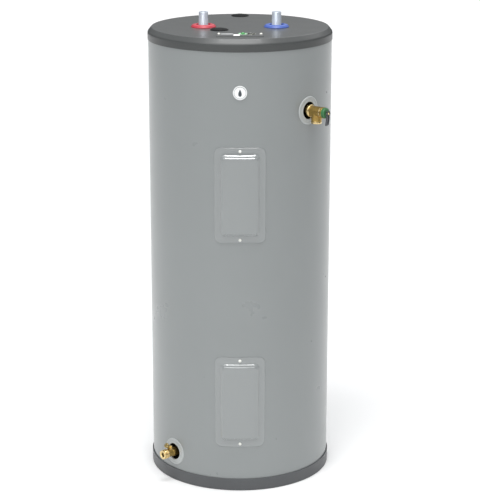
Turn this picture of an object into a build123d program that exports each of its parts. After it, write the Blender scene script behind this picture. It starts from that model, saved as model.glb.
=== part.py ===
from build123d import *
import os
from math import cos, radians, sin, sqrt

# Electric tank water heater, in millimetres. +Z is up, the origin is the middle of the flat base,
# and the service side faces -Y. Sub-parts on the side are drawn with x along the jacket, y up and
# z outwards from the heater's axis, then turned to their bearing with around().

# Driving dimensions
height = 1290.0
jacket_radius = 257.0
jacket_wall = 1.0
jacket_foot = 4.0
jacket_top = 1272.0
sheet = 1.2
joint_gap = 0.3
hole_gap = 0.5

pan_radius = 260.0
pan_height = 36.0
pan_wall = 1.5
pan_round = 2.5

cap_radius = 258.5
cap_face_radius = 247.5
cap_skirt_foot = 1256.0
cap_skirt_top = 1277.0
cap_wall = 1.5

tank_radius = 203.0
tank_wall = 2.5
tank_foot = 62.0
tank_rim = 1168.0
tank_shoulder = 1180.0
tank_crown = 55.0
bottom_crown = 42.0

pipe_radius = 13.335
pipe_bore = 10.45
pipe_top = 1333.0
pipe_thread_radius = 13.1
pipe_thread_length = 20.0
pipe_spacing = 203.2
pipe_row = -20.0
marker_radius = 35.0
marker_rise = 8.0
spud_radius = 20.0
spud_rise = 13.0

anode_place = (-57.0, -80.0)
anode_rod_radius = 10.5
anode_rod_length = 980.0
foam_fill_place = (0.0, 203.0)
access_cap_radius = 25.5
access_hole_radius = 21.0
access_cap_rise = 5.0

port_hole_radius = 25.5
collar_radius = 39.0
valve_root = 204.0

relief_bearing = 47.0
relief_height = 1084.0
relief_flange = (258.0, 268.0)
relief_flange_radius = 17.4
relief_barrel = (268.0, 305.0)
relief_barrel_radius = 15.0
relief_chamber_radius = 12.4
relief_hex_flats = 30.0
relief_hex_thick = 8.0
relief_outlet_out = 284.5
relief_outlet_drop = 32.0
relief_outlet_radius = 14.8
relief_outlet_bore = 12.3
relief_outlet_depth = 19.0
relief_seat = 264.0
relief_cap_end = 320.5
relief_cap_radii = (15.5, 14.5)
relief_pin_out = 325.5
relief_pin_radius = 1.5
relief_stem_radius = 3.2
relief_probe_radius = 5.0
relief_probe_tip = 96.0
lever_half_width = 5.5
lever_reach = 35.0
lever_lean = 9.0
lever_edge = 1.3
cheek_thick = 1.8

drain_bearing = -47.5
drain_height = 86.0
drain_hex_flats = 30.0
drain_hex = (232.0, 242.0)
drain_body_radius = 13.0
drain_body_end = 268.0
drain_neck_radius = 12.0
drain_outlet = (284.0, 301.0)
drain_hose_radius = 13.4
drain_bore = 6.3
drain_stem_slope = 40.0
drain_stem_root = 256.0
drain_stem_radius = 5.0
drain_bonnet_radius = 8.6
drain_bonnet_end = 25.0
drain_stem_head_radius = 7.0
drain_stem_head = (36.0, 42.0)

cover_heights = {"upper": 863.0, "lower": 266.0}
cover_width = 141.0
cover_tall = 267.0
cover_rise = 8.0
cover_corner = 17.0
opening_width = 118.0
opening_tall = 236.0
opening_corner = 10.0
cover_screw_offset = 124.0
screw_hole = 2.5
screw_head = 4.4
dam_wall = 3.0

element_drop = 60.0
element_head_flats = 38.0
element_reach = 270.0
element_tube = 4.0
element_leg = 9.0
element_seat = tank_radius + spud_rise - 2
gasket_thick = 2.0
element_head_thick = 7.0
terminal_block_thick = 5.0
terminal_head = 2.4

control_back = tank_radius + 1.8
control_face = 226.0
control_width = 46.0
high_limit_face = 224.0
shield_back = 230.6
shield_face = 234.2
shield_width = 92.0
shield_foot = -86.0
shield_tops = {"upper": 92.0, "lower": 42.0}
bracket_tops = {"upper": 88.0, "lower": 35.0}
dial_radius = 9.0
dial_rise = 3.6
reset_radius = 5.0
shaft_radius = 3.0
running_gap = 0.06
reset_place = (0.0, 60.0)
dial_place = (0.0, 8.0)

junction_place = (0.0, -161.5)
junction_width = 104.0
junction_depth = 78.0
junction_floor = 1240.0
junction_cover_width = 128.0
junction_cover_depth = 93.0
knockout_place = (30.0, -164.0)
knockout_radius = 11.1
ground_screw_place = (8.0, -162.0)

conduit_row = -226.0
conduit_radius = 8.0
conduit_bore = 6.5
conduit_entry = 1262.0
conduit_bend = 16.0
wire_radius = 1.6
wire_spread = 3.0

badge_height = 1147.0
badge_radius = 19.0

through = (200.0, 300.0)  # a radial span that passes right through the jacket's wall

# Places worked out from them
pipe_places = {"hot": (-pipe_spacing / 2, pipe_row), "cold": (pipe_spacing / 2, pipe_row)}
element_face = element_seat + gasket_thick
terminal_base = element_face + element_head_thick
terminal_face = terminal_base + terminal_block_thick
junction_corner_low = junction_place[1] - junction_depth / 2
junction_screws = [(side * 57.0, -163.0) for side in (-1, 1)]
cover_screw_rows = (-cover_screw_offset, cover_screw_offset)


def around(bearing, level):
    """The frame on the heater's axis at a level, looking out at a bearing from the front."""
    turn = radians(bearing)
    return Plane(origin=(0, 0, level), x_dir=(cos(turn), sin(turn), 0), z_dir=(sin(turn), -cos(turn), 0))


def disc(radius, low, high):
    """A round bar along z between two levels."""
    return Pos(0, 0, low) * Cylinder(radius, high - low, align=(Align.CENTER, Align.CENTER, Align.MIN))


def tube(outer, inner, low, high):
    """A round pipe along z between two levels."""
    return disc(outer, low, high) - disc(inner, low - 1, high + 1)


def slab(width, tall, low, high, corner=0.0):
    """A block along z between two levels, with its upright edges rounded."""
    outline = RectangleRounded(width, tall, corner) if corner else Rectangle(width, tall)
    return Pos(0, 0, low) * extrude(outline, high - low)


def block(x_span, y_span, z_span):
    """A plain block between two x, two y and two z values."""
    size = [span[1] - span[0] for span in (x_span, y_span, z_span)]
    middle = [(span[1] + span[0]) / 2 for span in (x_span, y_span, z_span)]
    return Pos(*middle) * Box(*size)


def turned(profile):
    """A solid of revolution about Z from radius and level pairs."""
    return revolve(make_face(Polyline(*[(r, 0, z) for r, z in profile], close=True)), Axis.Z)


def skin(outer, inner=0.0):
    """A cylinder or a pipe about the heater's own axis, in an outward frame."""
    upright = Rot(90, 0, 0) * Cylinder(outer, 400)
    return upright - Rot(90, 0, 0) * Cylinder(inner, 402) if inner else upright


def hexagon(across_flats, low, high):
    """A hexagonal bar along z between two levels."""
    return Pos(0, 0, low) * extrude(RegularPolygon(across_flats / 2, 6, major_radius=False), high - low)


def pan_screw(shank_radius, head_radius, seat, head_rise, reach):
    """A slotted screw along z, its head standing on the seat level."""
    head = disc(head_radius, seat, seat + head_rise)
    slot = block((-head_radius, head_radius), (-0.5, 0.5), (seat + head_rise / 2, seat + head_rise + 1))
    return head - slot + disc(shank_radius, seat - reach, seat)


def dome(radius, crown, shoulder, floor):
    """A round bar with a top cut from a ball, which rises by the crown above the shoulder."""
    ball = ball_radius(radius, crown)
    cap = disc(radius, shoulder, shoulder + crown + 1) & Pos(0, 0, shoulder + crown - ball) * Sphere(ball)
    return cap + disc(radius, floor, shoulder)


def ball_radius(radius, crown):
    """Radius of the ball that a dish of the given radius and crown is cut from."""
    return (radius**2 + crown**2) / (2 * crown)


def bent_bar(points, radii, section_radius):
    """A round bar that follows straight runs joined by tangent arcs."""
    path = FilletPolyline(*points, radius=radii)
    start = Plane(origin=path @ 0, z_dir=path % 0)
    return sweep(start * Circle(section_radius), path=path)


def element_level(place):
    return cover_heights[place] - element_drop


def at_both_elements(shape):
    """Two copies of a piece, one at each heating element."""
    return Compound(children=[around(0, element_level(place)) * shape for place in cover_heights])


# The case


def base_pan():
    outside = disc(pan_radius, 0, pan_height)
    outside = fillet(outside.edges().group_by(Axis.Z)[0], pan_round)
    inside = disc(pan_radius - pan_wall, pan_wall, pan_height + 5)
    inside = fillet(inside.edges().group_by(Axis.Z)[0], pan_round - pan_wall)
    return outside - inside


def outer_jacket():
    jacket = tube(jacket_radius, jacket_radius - jacket_wall, jacket_foot, jacket_top)
    for level in cover_heights.values():
        front = around(0, level)
        jacket -= front * slab(opening_width, opening_tall, *through, opening_corner)
        for up in cover_screw_rows:
            jacket -= front * Pos(0, up, 0) * disc(screw_hole, *through)
    for bearing, level in ((relief_bearing, relief_height), (drain_bearing, drain_height)):
        jacket -= around(bearing, level) * disc(port_hole_radius, *through)
    return jacket


def top_cap():
    inner_face = cap_face_radius - 0.7
    cap = turned([
        (0, height), (cap_face_radius, height), (cap_radius, cap_skirt_top), (cap_radius, cap_skirt_foot),
        (cap_radius - sheet, cap_skirt_foot), (cap_radius - sheet, cap_skirt_top - 0.6),
        (inner_face, height - cap_wall), (0, height - cap_wall),
    ])
    for place in pipe_places.values():
        cap -= Pos(*place, 0) * disc(spud_radius, height - 5, height + 5)
    for place in (anode_place, foam_fill_place):
        cap -= Pos(*place, 0) * disc(access_hole_radius, height - 5, height + 5)
    cap -= Pos(*junction_place, 0) * slab(junction_width - 4, junction_depth - 4, height - 5, height + 5, 4)
    for place in junction_screws:
        cap -= Pos(*place, 0) * disc(screw_hole, height - 5, height + 5)
    return cap


def marker_ring(place):
    ring = turned([
        (spud_radius, height), (marker_radius, height), (marker_radius - 1, height + 2.5),
        (marker_radius - 5, height + marker_rise - 1.5), (marker_radius - 10, height + marker_rise),
        (spud_radius + 1, height + marker_rise), (spud_radius, height + marker_rise - 1),
    ])
    return Pos(*place, 0) * ring


def access_cap(place):
    """A low domed plug, with a shank that fills its hole in the top cap."""
    lid = disc(access_cap_radius, height, height + access_cap_rise)
    lid = fillet(lid.edges().group_by(Axis.Z)[-1], access_cap_rise - 1)
    shank = disc(access_hole_radius - hole_gap, height - 10, height)
    return Pos(*place, 0) * (lid + shank)


def badge():
    plate = disc(badge_radius, 240, 270) & skin(jacket_radius + 2.2, jacket_radius + joint_gap)
    return around(0, badge_height) * plate


def port_collar(bearing, level):
    """A trim ring on the jacket, with a sleeve that lines the hole through the foam."""
    flange = disc(collar_radius, 220, 275) & skin(jacket_radius + 2.0, jacket_radius + joint_gap)
    sleeve = disc(port_hole_radius - hole_gap, 226, 275) & skin(jacket_radius + 2.0)
    return around(bearing, level) * ((flange + sleeve) - disc(port_hole_radius - 2, *through))


# Insulation


def foam_insulation():
    edge = jacket_radius - jacket_wall - 2 * joint_gap
    foam = turned([(0, tank_foot + 2), (edge, tank_foot + 2), (edge, cap_skirt_top - 3),
                   (cap_face_radius - 3, height - 3), (0, height - 3)])
    foam -= dome(tank_radius + 0.6, tank_crown + 0.6, tank_shoulder, tank_foot)
    for level in cover_heights.values():
        dam = slab(opening_width + 2 * dam_wall + 1, opening_tall + 2 * dam_wall + 1, 180, 300,
                   opening_corner + dam_wall)
        foam -= around(0, level) * dam
        for up in cover_screw_rows:
            foam -= around(0, level) * Pos(0, up, 0) * disc(3.2, 240, 300)
    for bearing, level in ((relief_bearing, relief_height), (drain_bearing, drain_height)):
        foam -= around(bearing, level) * disc(port_hole_radius + hole_gap, 180, 300)
    for place in (*pipe_places.values(), anode_place):
        foam -= Pos(*place, 0) * disc(spud_radius + 2, tank_shoulder, height)
    foam -= Pos(*foam_fill_place, 0) * disc(access_hole_radius + 0.5, height - 12, height)
    middle = Pos(*junction_place, 0)
    foam -= middle * slab(junction_width + 2, junction_depth + 2, junction_floor - 1, height)
    foam -= middle * slab(junction_width + 24, junction_depth + 16, height - 5, height)
    for place in junction_screws:
        foam -= Pos(*place, 0) * disc(3.2, height - 14, height)
    return foam - conduit_route(conduit_radius + hole_gap)


def foam_dams():
    """Sleeves that keep the foam out of the two service openings."""
    wall = skin(jacket_radius - jacket_wall - joint_gap, tank_radius + joint_gap)
    wide, tall = opening_width + 2 * dam_wall, opening_tall + 2 * dam_wall
    ring = slab(wide, tall, 180, 300, opening_corner + dam_wall)
    ring -= slab(opening_width, opening_tall, 170, 310, opening_corner)
    sleeve, passages = ring & wall, conduit_route(conduit_radius + hole_gap)
    return Compound(children=[around(0, level) * sleeve - passages for level in cover_heights.values()])


# The tank


def tank_shell():
    shell = tube(tank_radius, tank_radius - tank_wall, tank_foot, tank_rim)
    for bearing, level in side_spuds():
        shell -= around(bearing, level) * disc(spud_radius + hole_gap, 150, 300)
    return shell


def tank_top_head():
    head = dome(tank_radius, tank_crown, tank_shoulder, tank_rim)
    head -= dome(tank_radius - tank_wall, tank_crown - tank_wall, tank_shoulder, tank_rim - 5)
    for place in (*pipe_places.values(), anode_place):
        head -= Pos(*place, 0) * disc(spud_radius + hole_gap, tank_shoulder, height)
    return head


def tank_bottom_head():
    """A dish that bulges up into the tank."""
    edge = tank_radius - tank_wall - joint_gap
    dish = dome(edge, bottom_crown, tank_foot + tank_wall, tank_foot)
    return dish - Pos(0, 0, -tank_wall) * dome(edge, bottom_crown, tank_foot + tank_wall, tank_foot)


def tank_support_ring():
    return tube(tank_radius, tank_radius - 4, pan_wall, tank_foot)


def side_spuds():
    """Bearing and level of each threaded boss on the tank's side."""
    elements = [(0, element_level(place)) for place in cover_heights]
    return [*elements, (relief_bearing, relief_height), (drain_bearing, drain_height)]


def tank_spuds():
    spuds = []
    for bearing, level in side_spuds():
        bore = 17.0 if bearing == 0 else pipe_radius + hole_gap
        spuds.append(around(bearing, level) * tube(spud_radius, bore, tank_radius - 4, element_seat))
    for x, y in (*pipe_places.values(), anode_place):
        top = head_level(x, y) + spud_rise
        spuds.append(Pos(x, y, 0) * tube(spud_radius, pipe_radius + hole_gap, top - 24, top))
    return Compound(children=spuds)


def head_level(x, y):
    """Height of the tank's domed top above a place on its plan."""
    ball = ball_radius(tank_radius, tank_crown)
    return tank_shoulder + tank_crown - ball + sqrt(ball**2 - x * x - y * y)


def pipe_nipple(place):
    """A steel pipe whose free end is threaded, at the thread's middle diameter."""
    foot, thread_foot = head_level(*place) - 8, pipe_top - pipe_thread_length
    pipe = disc(pipe_radius, foot, thread_foot) + disc(pipe_thread_radius, thread_foot, pipe_top)
    return Pos(*place, 0) * (pipe - disc(pipe_bore, foot - 1, pipe_top + 1))


def hot_nipple_liner():
    place, outer = pipe_places["hot"], pipe_bore - joint_gap
    return Pos(*place, 0) * tube(outer, outer - 1.2, head_level(*place) - 30, pipe_top - 1)


def dip_tube():
    """The plastic tube that carries cold water down to the bottom of the tank."""
    outer = pipe_bore - joint_gap
    return Pos(*pipe_places["cold"], 0) * tube(outer, outer - 1.5, tank_foot + 120, pipe_top - 1)


def anode_plug():
    seat = head_level(*anode_place) + spud_rise
    plug = hexagon(27, seat, seat + 11) + disc(pipe_radius, seat - 22, seat)
    return Pos(*anode_place, 0) * plug


def anode_rod():
    top = head_level(*anode_place) + spud_rise - 22
    return Pos(*anode_place, 0) * disc(anode_rod_radius, top - anode_rod_length, top)


# Heating elements and controls, behind the two access covers


def element_heads():
    head = hexagon(element_head_flats, element_face, terminal_base)
    head += disc(16.4, tank_radius - 3, element_face)
    return at_both_elements(head)


def element_sheaths():
    """Hairpin tubes that reach into the tank from the heads."""
    start, leg, bend = tank_radius - 3, element_leg, element_leg - 0.2
    tip = start - element_reach
    points = [(0, leg, start), (0, leg, tip), (0, -leg, tip), (0, -leg, start)]
    return at_both_elements(bent_bar(points, [bend, bend], element_tube))


def element_terminal_blocks():
    shape = disc(14, terminal_base, terminal_face)
    shape -= block((-1, 1), (-14, 14), (terminal_face - 2, terminal_face + 1))
    return at_both_elements(shape)


def element_gaskets():
    return at_both_elements(tube(21, 17.2, element_seat, element_face))


def thermostat():
    """A control body with raised terminal rails and a bore for its dial's shaft."""
    body = Pos(0, 3, 0) * slab(control_width, 58, control_back, control_face - 3, 3)
    for side in (-1, 1):
        body += block((side * 15 - 8, side * 15 + 8), (-25, -9), (control_face - 3, control_face))
        body += block((side * 15 - 8, side * 15 + 8), (21, 31), (control_face - 3, control_face))
    return body - Pos(*dial_place, 0) * disc(shaft_radius + running_gap, control_face - 9, control_face + 1)


def high_limit_switch():
    body = Pos(0, 60, 0) * slab(control_width, 50, control_back, high_limit_face - 3, 3)
    for up in (42, 76):
        body += block((-22, 22), (up - 6, up + 6), (high_limit_face - 3, high_limit_face))
    body += Pos(*reset_place, 0) * disc(9, high_limit_face - 4, high_limit_face)
    face = high_limit_face
    body -= Pos(*reset_place, 0) * disc(reset_radius + running_gap, face - 8, face + 1)
    return around(0, cover_heights["upper"]) * body


def thermostat_brackets():
    """Spring-steel plates that press the controls against the tank."""
    brackets = []
    foot, back, arm = -28.0, tank_radius + 0.4, control_width / 2 + 1.6
    for place, top in bracket_tops.items():
        plate = Pos(0, (top + foot) / 2, 0) * slab(66, top - foot, back, back + 1, 3)
        for side in (-1, 1):
            plate += block((side * arm - 0.6, side * arm + 0.6), (-14, 18), (back, control_face - 8))
        brackets.append(around(0, cover_heights[place]) * plate)
    return Compound(children=brackets)


def thermostat_dial():
    knob = disc(dial_radius, control_face - 2.6, control_face + dial_rise)
    knob -= block((-1, 1), (-dial_radius, dial_radius), (control_face + 2, control_face + 5))
    return Pos(*dial_place, 0) * (knob + disc(shaft_radius, control_face - 8, control_face - 2.6))


def reset_button():
    button = disc(reset_radius, high_limit_face - 5, high_limit_face + 4)
    return around(0, cover_heights["upper"]) * Pos(*reset_place, 0) * button


def terminal_screw(seat):
    return pan_screw(1.5, 3.2, seat, terminal_head, 2)


def terminal_screw_places(place):
    """Local places and seats of the wire screws at one opening."""
    screws = [(side * across, -17.0, control_face) for side in (-1, 1) for across in (10.0, 19.5)]
    screws += [(side * 8.0, -element_drop, terminal_face) for side in (-1, 1)]
    if place == "upper":
        screws += [(side * 13.0, 76.0, high_limit_face) for side in (-1, 1)]
    else:
        screws += [(side * 13.0, 26.0, control_face) for side in (-1, 1)]
    return screws


def terminal_screws():
    screws = []
    for place, level in cover_heights.items():
        for x, up, seat in terminal_screw_places(place):
            head = terminal_screw(seat) - disc(5, seat - 5, seat)
            screws.append(around(0, level) * Pos(x, up, 0) * head)
    return Compound(children=screws)


def terminal_shield(place):
    """A snap-on plastic guard with windows for the dial and, above, the reset button."""
    tall, middle = shield_tops[place] - shield_foot, (shield_tops[place] + shield_foot) / 2
    window = 2.5
    shell = slab(shield_width, tall, shield_back, shield_face, 6)
    shell -= slab(shield_width - 3, tall - 3, shield_back - 1, shield_face - 1.6, 4.5)
    shell = Pos(0, middle, 0) * shell
    shell -= Pos(*dial_place, 0) * disc(dial_radius + window, shield_back, shield_face + 1)
    if place == "upper":
        shell -= Pos(*reset_place, 0) * disc(reset_radius + window, shield_back, shield_face + 1)
    return around(0, cover_heights[place]) * shell


# Wiring


def conduit_route(section_radius):
    """The two wire passages as solid bars of the given radius."""
    entry = junction_corner_low + sheet + 2
    top = [(0, entry, conduit_entry), (0, conduit_row, conduit_entry),
           (0, conduit_row, cover_heights["upper"] + opening_tall / 2 - 6)]
    upper = bent_bar(top, [conduit_bend], section_radius)
    low = cover_heights["lower"] + opening_tall / 2 - 6
    high = cover_heights["upper"] - opening_tall / 2 + 6
    return upper + Pos(0, conduit_row, 0) * disc(section_radius, low, high)


def wire_conduits():
    shape = conduit_route(conduit_radius) - conduit_route(conduit_bore)
    return Compound(children=list(shape.solids()))


def junction_box():
    floor, top = junction_floor, height - cap_wall
    shape = slab(junction_width, junction_depth, floor, top, 5)
    shape += slab(junction_width + 20, junction_depth + 12, top - sheet, top, 4)
    shape -= slab(junction_width - 2 * sheet, junction_depth - 2 * sheet, floor + sheet, top + 1, 4)
    shape = Pos(*junction_place, 0) * shape
    entry = Plane(origin=(0, 0, conduit_entry), x_dir=(1, 0, 0), z_dir=(0, -1, 0))
    shape -= entry * disc(conduit_radius + hole_gap, 180, 230)
    for place in junction_screws:
        shape -= Pos(*place, 0) * disc(screw_hole, top - 5, top + 5)
    return shape


def supply_wires():
    """Two leads from the junction box to the high-limit switch."""
    level = cover_heights["upper"]
    wires = []
    for side in (-1, 1):
        inner, outer = side * wire_spread, side * 13
        points = [(side * 26, -138, 1250), (side * 14, -168, 1256), (inner, -192, conduit_entry),
                  (inner, conduit_row, conduit_entry), (inner, conduit_row, level + 104),
                  (outer, conduit_row, level + 92), (outer, conduit_row, level + 80.4)]
        wires.append(bent_bar(points, [20, 20, conduit_bend, 9, 6], wire_radius))
    return Compound(children=wires)


def link_wires():
    """Two leads from the upper thermostat to the lower one."""
    upper, lower = cover_heights["upper"], cover_heights["lower"]
    out = -control_face - 2.4
    wires = []
    for side in (-1, 1):
        inner = side * wire_spread
        points = [(side * 19.5, out, upper - 21.4), (side * 26, out, upper - 36),
                  (side * 26, out, upper - 82),
                  (inner, conduit_row, upper - 108), (inner, conduit_row, lower + 108),
                  (side * 13, out, lower + 88), (side * 13, out, lower + 30.4)]
        wires.append(bent_bar(points, [14, 14, 14, 14, 10], wire_radius))
    return Compound(children=wires)


def element_leads():
    """Two short leads from each thermostat to its heating element."""
    wires = []
    for level in cover_heights.values():
        for side in (-1, 1):
            points = [(side * 10, -control_face - 2.2, level - 21.4),
                      (side * 13, -terminal_face - 1.9, level - 36),
                      (side * 8, -terminal_face - 1.9, level - element_drop + 4.4)]
            wires.append(bent_bar(points, [12], wire_radius))
    return Compound(children=wires)


# Junction box cover


def junction_box_cover():
    plate = slab(junction_cover_width, junction_cover_depth, height, height + sheet, 5)
    plate = Pos(*junction_place, 0) * plate
    plate -= Pos(*knockout_place, 0) * disc(knockout_radius, height - 1, height + 5)
    plate -= Pos(*ground_screw_place, 0) * disc(2.3, height - 1, height + 5)
    for place in junction_screws:
        plate -= Pos(*place, 0) * disc(2.3, height - 1, height + 5)
    return plate


def junction_cover_screws():
    screw = pan_screw(1.9, screw_head, height + sheet, 2.6, 10)
    return Compound(children=[Pos(*place, 0) * screw for place in junction_screws])


def ground_screw():
    seat = height + sheet
    return Pos(*ground_screw_place, 0) * (hexagon(8.5, seat, seat + 3.4) + disc(1.9, seat - 6, seat))


# Access covers


def cover_hump(inset, crown):
    """The raised middle of an access cover, its sides sloping in towards the crown."""
    side_slope, top_slope, foot_slope, low, high = 0.74, 1.6, 0.95, 248.0, 272.0
    sections = []
    for radial in (low, high):
        rise = radial - jacket_radius
        half = 49.8 - side_slope * rise - inset
        top = 113 - top_slope * rise - inset
        foot = 113 - foot_slope * rise - inset
        outline = Pos(0, (top - foot) / 2) * RectangleRounded(2 * half, top + foot, 9)
        sections.append(Pos(0, 0, radial) * outline)
    return loft(sections) & skin(jacket_radius + crown)


def access_cover(place):
    seat = jacket_radius + joint_gap
    flange = slab(cover_width, cover_tall, 220, 280, cover_corner) & skin(seat + sheet)
    cover = flange + cover_hump(0, cover_rise)
    cover -= cover_hump(sheet, cover_rise - sheet)
    cover -= skin(seat)
    for up in cover_screw_rows:
        cover -= Pos(0, up, 0) * disc(screw_hole, *through)
    return around(0, cover_heights[place]) * cover


def cover_insulation(place):
    pad = slab(opening_width - 12, opening_tall - 18, 236.5, 262, 8) & skin(jacket_radius - joint_gap)
    return around(0, cover_heights[place]) * pad


def cover_screws(place):
    seat = jacket_radius + joint_gap + sheet
    screw = pan_screw(2.0, screw_head, seat, 2.8, 14)
    front = around(0, cover_heights[place])
    return Compound(children=[front * Pos(0, up, 0) * screw for up in cover_screw_rows])


# Relief valve, in its own outward frame


def relief_frame():
    return around(relief_bearing, relief_height)


def relief_valve_body():
    flange, barrel = relief_flange, relief_barrel
    body = disc(pipe_radius, valve_root, flange[0]) + disc(relief_flange_radius, *flange)
    body += disc(relief_barrel_radius, *barrel)
    body += hexagon(relief_hex_flats, flange[0] - relief_hex_thick, flange[0])
    down = Pos(0, 0, relief_outlet_out) * Rot(90, 0, 0)
    mouth = relief_outlet_drop
    body += down * disc(relief_outlet_radius, 0, mouth)
    body -= down * disc(relief_outlet_bore, mouth - relief_outlet_depth, mouth + 1)
    body -= down * disc(relief_outlet_bore - 3, 0, mouth)
    body -= disc(8, valve_root - 4, relief_seat + 1)
    body -= disc(relief_chamber_radius, relief_seat, barrel[1] + 1)
    return relief_frame() * body


def relief_valve_cap():
    start, (skirt, crown) = relief_barrel[1], relief_cap_radii
    cap = disc(skirt, start, start + 7) + disc(crown, start + 7, relief_cap_end)
    cap = chamfer(cap.edges().group_by(Axis.Z)[-1], 1.5)
    cap -= disc(relief_chamber_radius, start - 1, relief_cap_end - 3)
    return relief_frame() * (cap - disc(relief_stem_radius + 1, relief_cap_end - 4, relief_cap_end + 1))


def relief_valve_spring():
    """A coil round the stem, drawn at the length it has with the valve lifted."""
    wire, coil, pitch, turns = 0.9, 9.5, 5.2, 7
    start = relief_cap_end - 3.6 - wire - pitch * turns
    path = Helix(pitch=pitch, height=pitch * turns, radius=coil)
    section = Plane(origin=path @ 0, z_dir=path % 0) * Circle(wire)
    return relief_frame() * Pos(0, 0, start) * sweep(section, path=path, is_frenet=True)


def relief_valve_stem():
    stem = disc(relief_stem_radius, relief_seat + 5, relief_pin_out + 3.4)
    stem += disc(11.5, relief_seat + 1, relief_seat + 5)
    stem += disc(2.0, relief_seat - 4, relief_seat + 1)
    cross = Pos(0, 0, relief_pin_out) * Rot(0, 90, 0) * Cylinder(relief_pin_radius + joint_gap, 20)
    return relief_frame() * (stem - cross)


def relief_valve_probe():
    """The temperature probe that reaches into the tank through the inlet."""
    return relief_frame() * disc(relief_probe_radius, relief_probe_tip, relief_seat - 4)


def relief_lever_pin():
    return relief_frame() * Pos(0, 0, relief_pin_out) * Rot(0, 90, 0) * Cylinder(relief_pin_radius, 12)


def relief_valve_lever():
    """Two cam cheeks on the pin and a channel that hangs in front of the valve, leaning inwards."""
    strap = block((-lever_half_width, lever_half_width), (-lever_reach, -9), (-0.4, 1.2))
    strap = fillet(strap.edges().filter_by(Axis.Z).group_by(Axis.Y)[0], 3)
    cheeks = Part()
    for side in (-1, 1):
        edge = sorted((side * lever_half_width, side * (lever_half_width - lever_edge)))
        strap += block(edge, (3 - lever_reach, -9), (-0.4, 3.5))
        across = sorted((side * lever_half_width, side * (lever_half_width - cheek_thick)))
        strap += block(across, (-12, 0), (-2.2, 2.2))
        for up, radius in ((0, 4), (4.5, 2.5)):
            cheeks += Pos(sum(across) / 2, up, 0) * Rot(0, 90, 0) * Cylinder(radius, cheek_thick)
        cheeks += block(across, (0, 4.5), (-2.5, 2.5))
    lever = Rot(lever_lean, 0, 0) * strap + cheeks
    lever -= Rot(0, 90, 0) * Cylinder(relief_pin_radius + running_gap, 20)
    return relief_frame() * Pos(0, 0, relief_pin_out) * lever


# Drain valve, in its own outward frame


def drain_frame():
    return around(drain_bearing, drain_height)


def drain_stem_frame():
    """The sloping frame of the operating stem, inside the drain's own frame."""
    return Pos(0, 0, drain_stem_root) * Rot(-drain_stem_slope, 0, 0)


def drain_valve_body():
    body = disc(pipe_radius, valve_root, drain_hex[0] + 2) + hexagon(drain_hex_flats, *drain_hex)
    body += disc(drain_body_radius, drain_hex[1], drain_body_end)
    body += disc(drain_neck_radius, drain_body_end, drain_outlet[0])
    body += disc(drain_hose_radius, *drain_outlet)
    body += drain_stem_frame() * disc(drain_bonnet_radius, 0, drain_bonnet_end)
    bore = disc(drain_bore, drain_body_end - 4, drain_outlet[1] + 1)
    bridge = block((-10, 10), (-1.0, 1.0), (drain_outlet[1] - 5, drain_outlet[1] - 1))
    body -= bore - Rot(0, 0, -22) * bridge
    body -= disc(7.0, valve_root - 4, drain_stem_root)
    stem_bore = disc(drain_stem_radius + running_gap, 8, drain_bonnet_end + 1)
    return drain_frame() * (body - drain_stem_frame() * stem_bore)


def drain_valve_stem():
    """The operating stem, with a wide slotted head clear of the bonnet."""
    head, end = drain_stem_head
    stem = disc(drain_stem_radius, 10, head) + disc(drain_stem_head_radius, head, end)
    stem -= block((-8, 8), (-0.8, 0.8), (end - 3, end + 1))
    return drain_frame() * drain_stem_frame() * stem


def all_parts():
    parts = {
        "base_pan": base_pan(),
        "outer_jacket": outer_jacket(),
        "top_cap": top_cap(),
        "hot_marker_ring": marker_ring(pipe_places["hot"]),
        "cold_marker_ring": marker_ring(pipe_places["cold"]),
        "anode_access_cap": access_cap(anode_place),
        "foam_fill_plug": access_cap(foam_fill_place),
        "badge": badge(),
        "relief_valve_collar": port_collar(relief_bearing, relief_height),
        "drain_valve_collar": port_collar(drain_bearing, drain_height),
        "foam_insulation": foam_insulation(),
        "foam_dams": foam_dams(),
        "tank_shell": tank_shell(),
        "tank_top_head": tank_top_head(),
        "tank_bottom_head": tank_bottom_head(),
        "tank_support_ring": tank_support_ring(),
        "tank_spuds": tank_spuds(),
        "hot_outlet_nipple": pipe_nipple(pipe_places["hot"]),
        "cold_inlet_nipple": pipe_nipple(pipe_places["cold"]),
        "hot_nipple_liner": hot_nipple_liner(),
        "dip_tube": dip_tube(),
        "anode_plug": anode_plug(),
        "anode_rod": anode_rod(),
        "element_heads": element_heads(),
        "element_sheaths": element_sheaths(),
        "element_terminal_blocks": element_terminal_blocks(),
        "element_gaskets": element_gaskets(),
        "high_limit_switch": high_limit_switch(),
        "thermostat_brackets": thermostat_brackets(),
        "terminal_screws": terminal_screws(),
        "reset_button": reset_button(),
        "junction_box": junction_box(),
        "wire_conduits": wire_conduits(),
        "supply_wires": supply_wires(),
        "link_wires": link_wires(),
        "element_leads": element_leads(),
        "junction_box_cover": junction_box_cover(),
        "junction_cover_screws": junction_cover_screws(),
        "ground_screw": ground_screw(),
        "relief_valve_body": relief_valve_body(),
        "relief_valve_cap": relief_valve_cap(),
        "relief_valve_spring": relief_valve_spring(),
        "relief_valve_stem": relief_valve_stem(),
        "relief_valve_probe": relief_valve_probe(),
        "relief_lever_pin": relief_lever_pin(),
        "relief_valve_lever": relief_valve_lever(),
        "drain_valve_body": drain_valve_body(),
        "drain_valve_stem": drain_valve_stem(),
    }
    for place, level in cover_heights.items():
        parts[place + "_thermostat"] = around(0, level) * thermostat()
        parts[place + "_thermostat_dial"] = around(0, level) * thermostat_dial()
        parts[place + "_terminal_shield"] = terminal_shield(place)
        parts[place + "_access_cover"] = access_cover(place)
        parts[place + "_cover_insulation"] = cover_insulation(place)
        parts[place + "_cover_screws"] = cover_screws(place)
    return parts


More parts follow.
